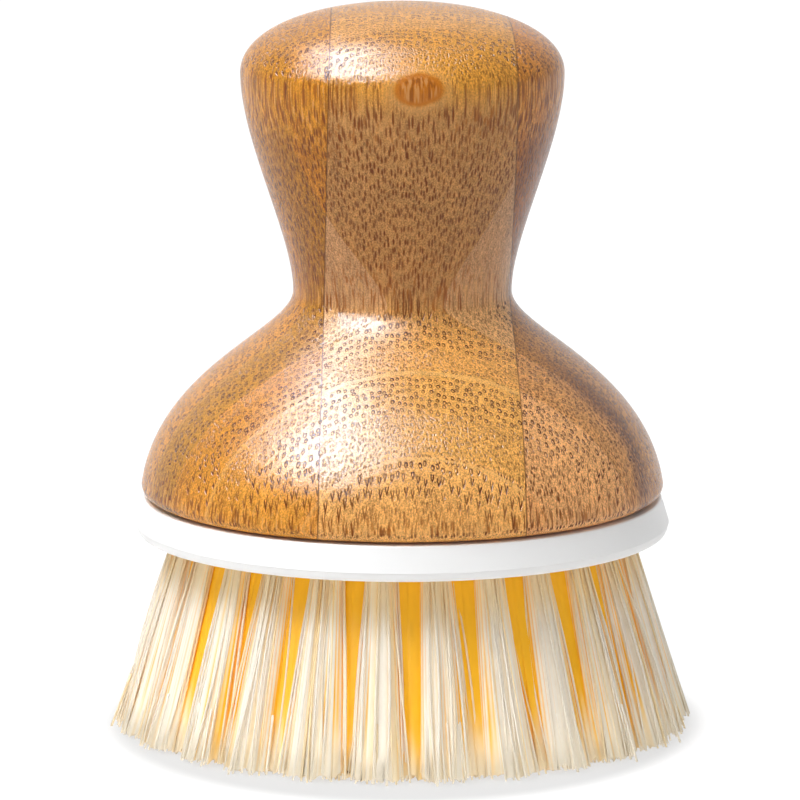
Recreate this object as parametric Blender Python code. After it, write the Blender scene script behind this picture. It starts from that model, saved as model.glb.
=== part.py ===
# Palm brush. A turned handle of three glued bamboo blocks carries a threaded insert in its
# underside. The head plate screws into it and holds a centre tuft and four rings of tufts.
# Metres, +Z up. The brush stands on its trimmed bristle tips, at z = 0 on its own axis.

import math

import bpy
import bmesh
from mathutils import Vector

MM = 0.001

# Gap between two pieces that seat on, or in, each other
SEAT_GAP = 0.3 * MM

# Turned handle: heights run from the rim up, radii are the wood's surface
DOME_RADIUS = 37.15 * MM
DOME_PULL = 16.4 * MM
DOME_LEAN = 2.5 * MM
RIM_ROUND = 1.6 * MM
NECK_RADIUS = 15.5 * MM
NECK_TO_RIM = 27.75 * MM
NECK_DROP = 6.15 * MM
NECK_RISE = 7.8 * MM
KNOB_RADIUS = 22.9 * MM
KNOB_TO_NECK = 31.05 * MM
KNOB_TUCK = 9.55 * MM
SHOULDER_RISE = 5.9 * MM
CROWN_HEIGHT = 9.67 * MM
CROWN_REACH = 12.8 * MM

# Glue planes that divide the handle into its three blocks. Each cover is the outer block's
# thickness at the neck, so the planes follow the neck's radius.
LEFT_GLUE_COVER = 4.5 * MM
LEFT_GLUE_LEAN = math.radians(1.4)
RIGHT_GLUE_COVER = 0.5 * MM
RIGHT_GLUE_TURN = math.radians(3.7)

# Moulded stud of the head plate, and the insert that it screws into
STUD_CORE_RADIUS = 5.1 * MM
STUD_LENGTH = 10.5 * MM
THREAD_DEPTH = 0.9 * MM
THREAD_PITCH = 3.5 * MM
INSERT_WALL = 2.4 * MM
INSERT_BARB = 0.6 * MM
INSERT_BARBS = 4
INSERT_HEADROOM = 1.5 * MM

# Head plate, whose rim shows as the white ring under the dome
PLATE_THICKNESS = 4.9 * MM
PLATE_STEP_IN = 0.2 * MM
PLATE_FLARE = 1.05 * MM
PLATE_FOOT_TUCK = 0.7 * MM
PLATE_FOOT_HEIGHT = 1.1 * MM
PLATE_EDGE = 0.35 * MM

# Tufts: one hole, one rooted bundle and its strands each
BRISTLE_LENGTH = 28.0 * MM
HOLE_RADIUS = 2.3 * MM
HOLE_FLOOR = 1.3 * MM
HOLE_MARGIN = 7.25 * MM
OUTER_SPLAY = math.radians(13.6)
STRAND_RING_ROOT = 1.2 * MM
STRAND_RING_TIP = 3.35 * MM
STRAND_RADIUS_ROOT = 0.45 * MM
STRAND_RADIUS_TIP = 1.15 * MM
STRANDS_ROUND_CENTRE = 7
FIRST_TUFT_ANGLE = math.radians(8.4)
RING_NAMES = ("outer", "middle", "inner", "core")
RING_COUNTS = (26, 14, 9, 5)

# Facets
HANDLE_SIDES = 60
PLATE_SIDES = 60
THREAD_SIDES = 20
THREAD_STEPS_PER_TURN = 5
HOLE_SIDES = 8

# Heights that follow from the sizes above
PLATE_FACE_Z = BRISTLE_LENGTH
PLATE_TOP_Z = PLATE_FACE_Z + PLATE_THICKNESS
UNDERSIDE_Z = PLATE_TOP_Z + SEAT_GAP
RIM_Z = UNDERSIDE_Z + RIM_ROUND
NECK_Z = RIM_Z + NECK_TO_RIM
KNOB_Z = NECK_Z + KNOB_TO_NECK
TOP_Z = KNOB_Z + CROWN_HEIGHT

# Radii that follow
STUD_CREST_RADIUS = STUD_CORE_RADIUS + THREAD_DEPTH
INSERT_LENGTH = STUD_LENGTH + INSERT_HEADROOM
INSERT_RADIUS = STUD_CREST_RADIUS + SEAT_GAP + INSERT_WALL
PLATE_TOP_RADIUS = DOME_RADIUS - PLATE_STEP_IN
PLATE_RADIUS = PLATE_TOP_RADIUS + PLATE_FLARE
PLATE_FOOT_RADIUS = PLATE_RADIUS - PLATE_FOOT_TUCK
OUTER_RING_RADIUS = PLATE_FOOT_RADIUS - HOLE_MARGIN
HOLE_DEPTH = PLATE_THICKNESS - HOLE_FLOOR


def clear_scene():
    for item in list(bpy.data.objects):
        bpy.data.objects.remove(item, do_unlink=True)


def material(name, colour, roughness, metallic=0.0):
    made = bpy.data.materials.new(name)
    made.use_nodes = True
    shader = made.node_tree.nodes["Principled BSDF"]
    shader.inputs["Base Color"].default_value = (*colour, 1.0)
    shader.inputs["Roughness"].default_value = roughness
    shader.inputs["Metallic"].default_value = metallic
    made.diffuse_color = (*colour, 1.0)
    return made


def add_object(name, mesh, look=None):
    item = bpy.data.objects.new(name, mesh)
    bpy.context.scene.collection.objects.link(item)
    if look is not None and not mesh.materials:
        mesh.materials.append(look)
    return item


def add_cutter(name, mesh):
    item = add_object(name, mesh)
    item.hide_render = True
    item.display_type = "WIRE"
    return item


def boolean(item, tool, operation):
    step = item.modifiers.new(tool.name, "BOOLEAN")
    step.object = tool
    step.operation = operation


def mesh_from_bmesh(name, bm, sharp_angle=math.radians(40)):
    bmesh.ops.recalc_face_normals(bm, faces=bm.faces)
    mesh = bpy.data.meshes.new(name)
    bm.to_mesh(mesh)
    bm.free()
    mesh.shade_smooth()
    mesh.set_sharp_from_angle(angle=sharp_angle)
    return mesh


def bezier(start, start_pull, end_pull, end, steps):
    """Points of a cubic curve after its start: each pull is a handle's offset from its end."""
    a, d = Vector(start), Vector(end)
    b, c = a + Vector(start_pull), d + Vector(end_pull)
    points = []
    for step in range(1, steps + 1):
        t = step / steps
        u = 1.0 - t
        points.append(u ** 3 * a + 3 * t * u * u * b + 3 * t * t * u * c + t ** 3 * d)
    return [(p.x, p.y) for p in points]


def arc(centre, radius, start_angle, end_angle, steps):
    """Points of a circle's arc after its start."""
    points = []
    for step in range(1, steps + 1):
        angle = start_angle + (end_angle - start_angle) * step / steps
        points.append((centre[0] + radius * math.cos(angle), centre[1] + radius * math.sin(angle)))
    return points


def turned(name, profile, sides):
    """Solid turned about Z from (radius, z) points, with a pole wherever the radius is zero."""
    bm = bmesh.new()
    rings = []
    for radius, z in profile:
        if radius == 0.0:
            rings.append([bm.verts.new((0.0, 0.0, z))])
            continue
        ring = []
        for side in range(sides):
            angle = 2.0 * math.pi * side / sides
            ring.append(bm.verts.new((radius * math.cos(angle), radius * math.sin(angle), z)))
        rings.append(ring)
    for upper, lower in zip(rings, rings[1:]):
        for side in range(sides):
            after = (side + 1) % sides
            corners = [upper[side % len(upper)], upper[after % len(upper)],
                       lower[after % len(lower)], lower[side % len(lower)]]
            unique = list(dict.fromkeys(corners))
            bm.faces.new(unique)
    return mesh_from_bmesh(name, bm)


def handle_profile():
    """Outline from the crown down the knob, neck and dome, then in to the insert's bore."""
    bore_radius = INSERT_RADIUS + SEAT_GAP
    bore_top = UNDERSIDE_Z + INSERT_LENGTH + SEAT_GAP
    knob = (KNOB_RADIUS, KNOB_Z)
    neck = (NECK_RADIUS, NECK_Z)
    rim = (DOME_RADIUS, RIM_Z)
    outline = [(0.0, TOP_Z)]
    outline += bezier((0.0, TOP_Z), (CROWN_REACH, 0.0), (0.0, SHOULDER_RISE), knob, 8)
    outline += bezier(knob, (0.0, -KNOB_TUCK), (0.0, NECK_RISE), neck, 7)
    outline += bezier(neck, (0.0, -NECK_DROP), (-DOME_LEAN, DOME_PULL), rim, 10)
    outline += arc((DOME_RADIUS - RIM_ROUND, RIM_Z), RIM_ROUND, 0.0, -math.pi / 2, 3)
    outline += [(bore_radius, UNDERSIDE_Z), (bore_radius, bore_top), (0.0, bore_top)]
    return outline


def left_glue_x(y, z):
    return LEFT_GLUE_COVER - NECK_RADIUS + (z - NECK_Z) * math.tan(LEFT_GLUE_LEAN)


def right_glue_x(y, z):
    return NECK_RADIUS - RIGHT_GLUE_COVER - y * math.tan(RIGHT_GLUE_TURN)


def block_cutter(name, low_x, high_x):
    """Box round the whole handle, whose two sides in X are the functions given."""
    reach = DOME_RADIUS + RIM_ROUND
    floor, ceiling = UNDERSIDE_Z - RIM_ROUND, TOP_Z + RIM_ROUND
    bm = bmesh.new()
    corners = {}
    for side, edge in enumerate((low_x, high_x)):
        for y in (-reach, reach):
            for z in (floor, ceiling):
                corners[side, y, z] = bm.verts.new((edge(y, z), y, z))
    bmesh.ops.convex_hull(bm, input=bm.verts)
    return add_cutter(name, mesh_from_bmesh(name, bm))


def build_handle():
    outside = DOME_RADIUS + RIM_ROUND
    half = SEAT_GAP / 2
    blocks = {
        "handle_left_block": (lambda y, z: -outside, lambda y, z: left_glue_x(y, z) - half),
        "handle_centre_block": (lambda y, z: left_glue_x(y, z) + half, lambda y, z: right_glue_x(y, z) - half),
        "handle_right_block": (lambda y, z: right_glue_x(y, z) + half, lambda y, z: outside),
    }
    colours = {
        "handle_left_block": (0.66, 0.36, 0.13),
        "handle_centre_block": (0.60, 0.32, 0.11),
        "handle_right_block": (0.46, 0.24, 0.09),
    }
    profile = handle_profile()
    for name, (low_x, high_x) in blocks.items():
        block = add_object(name, turned(name, profile, HANDLE_SIDES), material(name, colours[name], 0.35))
        boolean(block, block_cutter(name + "_cutter", low_x, high_x), "INTERSECT")


def thread_radius(angle, z):
    """Radius of the stud at a place: a triangular ridge that climbs one pitch each turn."""
    turn = ((z - UNDERSIDE_Z) / THREAD_PITCH - angle / (2.0 * math.pi)) % 1.0
    return STUD_CORE_RADIUS + THREAD_DEPTH * (1.0 - abs(2.0 * turn - 1.0))


def thread_rings(bm, bottom, top, radius_at):
    """Rings of vertices from bottom to top, and the faces between them."""
    steps = round((top - bottom) / (THREAD_PITCH / THREAD_STEPS_PER_TURN))
    rings = []
    for step in range(steps + 1):
        z = bottom + (top - bottom) * step / steps
        ring = []
        for side in range(THREAD_SIDES):
            angle = 2.0 * math.pi * side / THREAD_SIDES
            radius = radius_at(angle, z)
            ring.append(bm.verts.new((radius * math.cos(angle), radius * math.sin(angle), z)))
        rings.append(ring)
    for lower, upper in zip(rings, rings[1:]):
        join_rings(bm, lower, upper)
    return rings


def join_rings(bm, first, second):
    count = len(first)
    for side in range(count):
        after = (side + 1) % count
        bm.faces.new((first[side], first[after], second[after], second[side]))


def build_insert():
    """Sleeve with the stud's thread inside, and barbs outside that grip the wood."""
    bottom = UNDERSIDE_Z
    top = bottom + INSERT_LENGTH
    bm = bmesh.new()
    bore = thread_rings(bm, bottom, top, lambda angle, z: thread_radius(angle, z) + SEAT_GAP)
    barb = INSERT_LENGTH / INSERT_BARBS
    outside = [(INSERT_RADIUS, bottom)]
    for index in range(INSERT_BARBS):
        foot = bottom + index * barb
        outside += [(INSERT_RADIUS, foot + barb * 0.4), (INSERT_RADIUS - INSERT_BARB, foot + barb)]
        if index < INSERT_BARBS - 1:
            outside.append((INSERT_RADIUS, foot + barb * 1.05))
    rings = []
    for radius, z in outside:
        ring = []
        for side in range(THREAD_SIDES):
            angle = 2.0 * math.pi * side / THREAD_SIDES
            ring.append(bm.verts.new((radius * math.cos(angle), radius * math.sin(angle), z)))
        rings.append(ring)
    for lower, upper in zip(rings, rings[1:]):
        join_rings(bm, lower, upper)
    join_rings(bm, bore[0], rings[0])
    join_rings(bm, bore[-1], rings[-1])
    add_object("threaded_insert", mesh_from_bmesh("threaded_insert", bm),
               material("insert_brass", (0.78, 0.60, 0.28), 0.35, 1.0))


def stud_cutter():
    """The stud, sunk halfway into the floor over the tuft holes, so that it is one moulding."""
    bottom = PLATE_TOP_Z - HOLE_FLOOR / 2
    bm = bmesh.new()
    rings = thread_rings(bm, bottom, PLATE_TOP_Z + STUD_LENGTH, thread_radius)
    bm.faces.new(rings[0])
    bm.faces.new(rings[-1])
    return add_cutter("stud", mesh_from_bmesh("stud", bm))


def ring_layout():
    """Name, radius at the plate, angle and splay of every tuft, from the outer ring inwards."""
    yield "centre_tuft", 0.0, 0.0, 0.0
    for index, (ring, count) in enumerate(zip(RING_NAMES, RING_COUNTS)):
        share = 1.0 - index / len(RING_COUNTS)
        for number in range(count):
            angle = FIRST_TUFT_ANGLE - math.pi / 2 + 2.0 * math.pi * number / count
            yield f"{ring}_tuft_{number + 1:02d}", OUTER_RING_RADIUS * share, angle, OUTER_SPLAY * share


def leaning_prism(bm, sides, low, high, phase=0.0):
    """Closed prism between two level polygons, each given as (x, y, z, radius)."""
    rings = []
    for x, y, z, radius in (low, high):
        ring = []
        for side in range(sides):
            angle = phase + 2.0 * math.pi * side / sides
            ring.append(bm.verts.new((x + radius * math.cos(angle), y + radius * math.sin(angle), z)))
        rings.append(ring)
    join_rings(bm, rings[0], rings[1])
    bm.faces.new(rings[0])
    bm.faces.new(rings[1])


def hole_cutters():
    """One leaning prism for each tuft's hole, which starts below the plate's face."""
    bm = bmesh.new()
    run_in = HOLE_FLOOR
    for _, radius, angle, splay in ring_layout():
        lean = math.tan(splay)
        low = radius + run_in * lean
        high = radius - HOLE_DEPTH * lean
        across, along = math.cos(angle), math.sin(angle)
        leaning_prism(bm, HOLE_SIDES,
                      (low * across, low * along, PLATE_FACE_Z - run_in, HOLE_RADIUS),
                      (high * across, high * along, PLATE_FACE_Z + HOLE_DEPTH, HOLE_RADIUS),
                      angle + math.pi / HOLE_SIDES)
    return add_cutter("tuft_holes", mesh_from_bmesh("tuft_holes", bm))


def build_head_plate():
    widest_z = PLATE_FACE_Z + PLATE_FOOT_HEIGHT
    outline = [
        (0.0, PLATE_TOP_Z),
        (PLATE_TOP_RADIUS - PLATE_EDGE, PLATE_TOP_Z),
        (PLATE_TOP_RADIUS, PLATE_TOP_Z - PLATE_EDGE),
        (PLATE_RADIUS, widest_z),
        (PLATE_RADIUS - PLATE_FOOT_TUCK * 0.3, PLATE_FACE_Z + PLATE_FOOT_HEIGHT * 0.3),
        (PLATE_FOOT_RADIUS, PLATE_FACE_Z),
        (0.0, PLATE_FACE_Z),
    ]
    plate = add_object("head_plate", turned("head_plate", outline, PLATE_SIDES),
                       material("plate_white", (0.93, 0.93, 0.92), 0.35))
    boolean(plate, hole_cutters(), "DIFFERENCE")
    boolean(plate, stud_cutter(), "UNION")


def tuft_mesh(name, splay, look):
    """Rooted bundle and strands of one tuft, fused, with +X outwards and its root at x = 0."""
    lean = math.tan(splay)
    root_radius = HOLE_RADIUS - SEAT_GAP
    root_top = HOLE_DEPTH - SEAT_GAP
    bm = bmesh.new()
    leaning_prism(bm, HOLE_SIDES, (0.0, 0.0, PLATE_FACE_Z, root_radius),
                  (-root_top * lean, 0.0, PLATE_FACE_Z + root_top, root_radius), math.pi / HOLE_SIDES)
    root = add_object(name + "_root", mesh_from_bmesh(name + "_root", bm))

    # A strand runs from inside the root to its tip, where it is trimmed flat at z = 0
    sunk = root_top / 3
    bm = bmesh.new()
    places = [(0.0, 0.0, 0.0)]
    for index in range(STRANDS_ROUND_CENTRE):
        turn = 2.0 * math.pi * index / STRANDS_ROUND_CENTRE
        places.append((math.cos(turn), math.sin(turn), turn))
    for across, along, turn in places:
        drop = (PLATE_FACE_Z + sunk) / PLATE_FACE_Z
        tip = (BRISTLE_LENGTH * lean + across * STRAND_RING_TIP, along * STRAND_RING_TIP)
        face = (across * STRAND_RING_ROOT, along * STRAND_RING_ROOT)
        high = [t + (f - t) * drop for t, f in zip(tip, face)]
        thick = STRAND_RADIUS_TIP + (STRAND_RADIUS_ROOT - STRAND_RADIUS_TIP) * drop
        leaning_prism(bm, 3, (*tip, 0.0, STRAND_RADIUS_TIP),
                      (*high, PLATE_FACE_Z + sunk, thick), turn)
    strands = add_object(name + "_strands", mesh_from_bmesh(name + "_strands", bm))

    boolean(root, strands, "UNION")
    whole = bpy.data.meshes.new_from_object(root.evaluated_get(bpy.context.evaluated_depsgraph_get()))
    whole.name = name
    whole.materials.clear()
    whole.materials.append(look)
    bpy.data.objects.remove(strands, do_unlink=True)
    bpy.data.objects.remove(root, do_unlink=True)
    return whole


def build_tufts():
    cream = material("bristle_cream", (0.93, 0.84, 0.66), 0.6)
    gold = material("bristle_gold", (0.88, 0.50, 0.13), 0.6)
    meshes = {}
    for name, radius, angle, splay in ring_layout():
        ring = name.split("_")[0]
        if ring not in meshes:
            meshes[ring] = tuft_mesh(ring + "_tuft", splay, cream if ring == "outer" else gold)
        tuft = add_object(name, meshes[ring])
        tuft.location = (radius * math.cos(angle), radius * math.sin(angle), 0.0)
        tuft.rotation_euler = (0.0, 0.0, angle)


def main():
    clear_scene()
    build_handle()
    build_insert()
    build_head_plate()
    build_tufts()


main()
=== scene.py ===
import math

import bmesh
import bpy
import numpy as np
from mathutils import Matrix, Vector


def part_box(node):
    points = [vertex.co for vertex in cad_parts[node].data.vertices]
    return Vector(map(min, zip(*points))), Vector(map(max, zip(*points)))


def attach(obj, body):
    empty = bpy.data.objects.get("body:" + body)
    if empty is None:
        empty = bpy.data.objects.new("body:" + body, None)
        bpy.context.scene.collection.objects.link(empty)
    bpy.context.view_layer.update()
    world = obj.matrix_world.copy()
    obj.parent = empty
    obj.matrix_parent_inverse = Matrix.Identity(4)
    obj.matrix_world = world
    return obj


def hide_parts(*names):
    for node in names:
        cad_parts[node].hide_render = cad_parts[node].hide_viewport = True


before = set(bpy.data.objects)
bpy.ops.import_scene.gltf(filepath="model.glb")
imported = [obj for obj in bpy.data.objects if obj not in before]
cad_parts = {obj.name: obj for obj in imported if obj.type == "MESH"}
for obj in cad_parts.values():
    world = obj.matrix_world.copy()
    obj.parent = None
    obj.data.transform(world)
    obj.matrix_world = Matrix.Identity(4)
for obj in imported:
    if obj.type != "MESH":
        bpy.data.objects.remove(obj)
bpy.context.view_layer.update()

print("frame loaded, with", len(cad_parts), "pieces")

mm = 0.001
fullTurn = 2 * math.pi
scene = bpy.context.scene


# Mesh helpers

mergeDistance = 0.002 * mm
cutTolerance = 0.001 * mm


# One mesh from an array of points and arrays of faces, each array with one corner count
def meshFrom(name, points, *faceArrays):
    corners = np.concatenate([faces.ravel() for faces in faceArrays]).astype(np.int32)
    counts = np.concatenate([np.full(len(faces), faces.shape[1]) for faces in faceArrays])
    starts = np.concatenate([[0], np.cumsum(counts)[:-1]]).astype(np.int32)
    mesh = bpy.data.meshes.new(name)
    mesh.vertices.add(len(points))
    mesh.vertices.foreach_set("co", np.asarray(points, np.float32).ravel())
    mesh.loops.add(len(corners))
    mesh.loops.foreach_set("vertex_index", corners)
    mesh.polygons.add(len(counts))
    mesh.polygons.foreach_set("loop_start", starts)
    mesh.update(calc_edges=True)
    mesh.validate()
    return mesh


# Faces of a grid of rings: each ring's points join the next ring's, and the last point the first
def ringFaces(rings, sides):
    ring = np.arange(rings - 1)[:, None] * sides
    side = np.arange(sides)[None, :]
    after = (side + 1) % sides
    return np.stack([ring + side, ring + after, ring + sides + after, ring + sides + side], -1).reshape(-1, 4)


# Triangles from a pole to each side of the ring that starts at the first point
def fanFaces(pole, first, sides):
    side = np.arange(sides)
    return np.stack([np.full(sides, pole), first + side, first + (side + 1) % sides], -1)


# The angle of each corner of a ring
def cornerAngles(sides):
    return np.arange(sides) * fullTurn / sides


# A solid turned about Z, x = r cos(angle) and y = r sin(angle), whose profile starts and ends on
# the axis, where the pole's points merge
def turnedSolid(name, profile, sides):
    angle = cornerAngles(sides)
    x, y = profile[:, :1] * np.cos(angle), profile[:, :1] * np.sin(angle)
    points = np.stack([x, y, np.broadcast_to(profile[:, 1:], x.shape)], -1).reshape(-1, 3)
    mesh = meshFrom(name, points, ringFaces(len(profile), sides))
    closeUp(mesh)
    return mesh


# Smooth shading, but for the edges whose faces meet at more than the sharp angle
def softEdges(mesh, sharpAngle=32):
    mesh.shade_smooth()
    mesh.set_sharp_from_angle(angle=math.radians(sharpAngle))


# Merges doubled points and turns every face outwards
def closeUp(mesh):
    solid = bmesh.new()
    solid.from_mesh(mesh)
    bmesh.ops.remove_doubles(solid, verts=solid.verts, dist=mergeDistance)
    bmesh.ops.recalc_face_normals(solid, faces=solid.faces)
    solid.to_mesh(mesh)
    solid.free()
    softEdges(mesh)


# Points of a cubic curve after its start: a, a + pull, d + pull, d weighted by Bernstein's cubics
def curve(start, startPull, endPull, end, steps):
    a, d = np.array(start), np.array(end)
    b, c = a + startPull, d + endPull
    t = np.linspace(0, 1, steps + 1)[1:, None]
    return (1 - t) ** 3 * a + 3 * t * (1 - t) ** 2 * b + 3 * t ** 2 * (1 - t) * c + t ** 3 * d


# Points of an arc after its start: centre plus radius times (cos, sin) of evenly spaced angles
def arc(centre, radius, first, last, steps):
    angle = np.radians(np.linspace(first, last, steps + 1)[1:])
    return np.array(centre) + radius * np.stack([np.cos(angle), np.sin(angle)], -1)


def addObject(name, data):
    made = bpy.data.objects.new(name, data)
    scene.collection.objects.link(made)
    return made


# A finished piece on the root body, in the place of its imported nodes
def addPiece(name, mesh, material, slot, *nodes):
    piece = addObject(name, mesh)
    mesh.materials.clear()
    mesh.materials.append(material)
    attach(piece, "root")
    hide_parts(*nodes)


# Material helpers

# A tone given as 0 to 255 in each channel, made linear
def linear(tone):
    share = np.array(tone) / 255
    return (*np.where(share < 0.04045, share / 12.92, ((share + 0.055) / 1.055) ** 2.4), 1.0)


# Gives a node's inputs, by name or place, a value each or the socket that feeds it
def fillInputs(node, **inputs):
    for key, value in inputs.items():
        socket = node.inputs[int(key[1:]) if key[1:].isdigit() else key.replace("_", " ")]
        if isinstance(value, bpy.types.NodeSocket):
            node.id_data.links.new(value, socket)
        else:
            socket.default_value = value


# Adds one node: settings are its own properties
def addNode(tree, kind, settings=None, **inputs):
    made = tree.nodes.new("ShaderNode" + kind)
    for key, value in (settings or {}).items():
        setattr(made, key, value)
    fillInputs(made, **inputs)
    return made


# Adds one node in the tree of the sockets that feed it, one at least
def addAfter(kind, settings=None, **inputs):
    tree = next(value.id_data for value in inputs.values() if isinstance(value, bpy.types.NodeSocket))
    return addNode(tree, kind, settings, **inputs)


def maths(operation, first, second=0.0, third=0.0):
    return addAfter("Math", {"operation": operation}, n0=first, n1=second, n2=third).outputs[0]


def plus(first, second):
    return maths("ADD", first, second)


def minus(first, second):
    return maths("SUBTRACT", first, second)


# The product of two or more values
def times(first, *others):
    for other in others:
        first = maths("MULTIPLY", first, other)
    return first


# A value times a factor, plus a shift
def scaled(value, factor, shift):
    return maths("MULTIPLY_ADD", value, factor, shift)


# How far two values lie apart
def apart(first, second=0.0):
    return maths("ABSOLUTE", minus(first, second))


# Smooth step of a value from 0 at low to 1 at high, or the other way when high is the lower
def step(value, low, high):
    smooth = {"interpolation_type": "SMOOTHSTEP"}
    return addAfter("MapRange", smooth, Value=value, From_Min=low, From_Max=high).outputs[0]


def blend(share, first, second, mode="MIX"):
    settings = {"data_type": "RGBA", "blend_type": mode}
    return addAfter("Mix", settings, n0=share, n6=first, n7=second).outputs[2]


def vectorMaths(operation, first, second=(0, 0, 0), third=(0, 0, 0), result="Vector"):
    made = addAfter("VectorMath", {"operation": operation}, n0=first, n1=second, n2=third)
    return made.outputs[result]


def components(vector):
    return addAfter("SeparateXYZ", n0=vector).outputs


# Object coordinates in millimetres, so that a pattern's sizes read as real ones
def millimetres(tree, scale=(1, 1, 1)):
    place = addNode(tree, "TexCoord").outputs["Object"]
    return addNode(tree, "Mapping", Vector=place, Scale=[share / mm for share in scale]).outputs[0]


# Noise with so many bumps in a millimetre along X, Y and Z
def noise(tree, bumps, detail):
    return addNode(tree, "TexNoise", Vector=millimetres(tree, bumps), Scale=1.0, Detail=detail)


def newMaterial(name):
    material = bpy.data.materials.new(name)
    material.use_nodes = True
    tree = material.node_tree
    return material, tree, tree.nodes["Principled BSDF"]


# Bamboo handle

blockLow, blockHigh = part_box("handle_centre_block")

# A pull is how far a curve's handle lies from its end, as (in and out, up) or as (below, above)
handle = {
    "underside": blockLow.z,
    "crown": blockHigh.z,
    "domeRadius": 37.15 * mm,
    "domePull": (-2.5 * mm, 16.4 * mm),
    "rimRound": 1.6 * mm,
    "neckRadius": 15.5 * mm,
    "neckToRim": 27.75 * mm,
    "neckPull": (6.15 * mm, 7.8 * mm),
    "knobRadius": 22.9 * mm,
    "crownHeight": 9.67 * mm,
    "knobPull": (9.55 * mm, 5.9 * mm),
    "crownReach": 12.8 * mm,
    "boreGap": 0.3 * mm,
    "sides": 320,
    "crownSteps": 44,
    "knobSteps": 40,
    "domeSteps": 56,
    "rimSteps": 10,
    "leftGlueAt": -11.0 * mm,  # x of the left glue plane at the neck
    "leftGlueLean": math.radians(1.4),
    "rightGlueAt": 15.0 * mm,  # x of the right one in line with the axis
    "rightGlueTurn": math.radians(3.7),
    "glueHalfGap": 0.015 * mm,
}


# The turned outline, top to bottom: crown, knob, neck and dome are cubic curves, the rim is an
# arc, and the insert's bore runs up from the underside
def handleProfile():
    rimHeight = handle["underside"] + handle["rimRound"]
    crown = (0.0, handle["crown"])
    knob = (handle["knobRadius"], handle["crown"] - handle["crownHeight"])
    neck = (handle["neckRadius"], rimHeight + handle["neckToRim"])
    rim = (handle["domeRadius"], rimHeight)
    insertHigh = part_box("threaded_insert")[1]
    bore = insertHigh.x + handle["boreGap"]
    boreTop = insertHigh.z + handle["boreGap"]
    below, above = handle["neckPull"]
    knobBelow, knobAbove = handle["knobPull"]
    return np.vstack([
        [crown],
        curve(crown, (handle["crownReach"], 0), (0, knobAbove), knob, handle["crownSteps"]),
        curve(knob, (0, -knobBelow), (0, above), neck, handle["knobSteps"]),
        curve(neck, (0, -below), handle["domePull"], rim, handle["domeSteps"]),
        arc((rim[0] - handle["rimRound"], rimHeight), handle["rimRound"], 0, -90, handle["rimSteps"]),
        [(bore, handle["underside"]), (bore, boreTop), (0.0, boreTop)],
    ])


# The left and the right glue plane, each as a point on it and its unit normal, which points away
# from the centre block: the left one leans with height, the right one turns about the axis
def gluePlanes():
    neckHeight = handle["underside"] + handle["rimRound"] + handle["neckToRim"]
    lean, turn = handle["leftGlueLean"], handle["rightGlueTurn"]
    left = (Vector((handle["leftGlueAt"], 0, neckHeight)), Vector((-math.cos(lean), 0, math.sin(lean))))
    right = (Vector((handle["rightGlueAt"], 0, 0)), Vector((math.cos(turn), math.sin(turn), 0)))
    return left, right


# What is left of a mesh on the inner side of each plane, with the cut faces filled
def cutBlock(name, mesh, planes):
    solid = bmesh.new()
    solid.from_mesh(mesh)
    for point, normal in planes:
        parts = solid.verts[:] + solid.edges[:] + solid.faces[:]
        bmesh.ops.bisect_plane(solid, geom=parts, dist=cutTolerance, plane_co=point, plane_no=normal,
                               clear_outer=True)
        bmesh.ops.holes_fill(solid, edges=[edge for edge in solid.edges if edge.is_boundary], sides=0)
    bmesh.ops.recalc_face_normals(solid, faces=solid.faces)
    cut = bpy.data.meshes.new(name)
    solid.to_mesh(cut)
    solid.free()
    softEdges(cut)
    return cut


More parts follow.
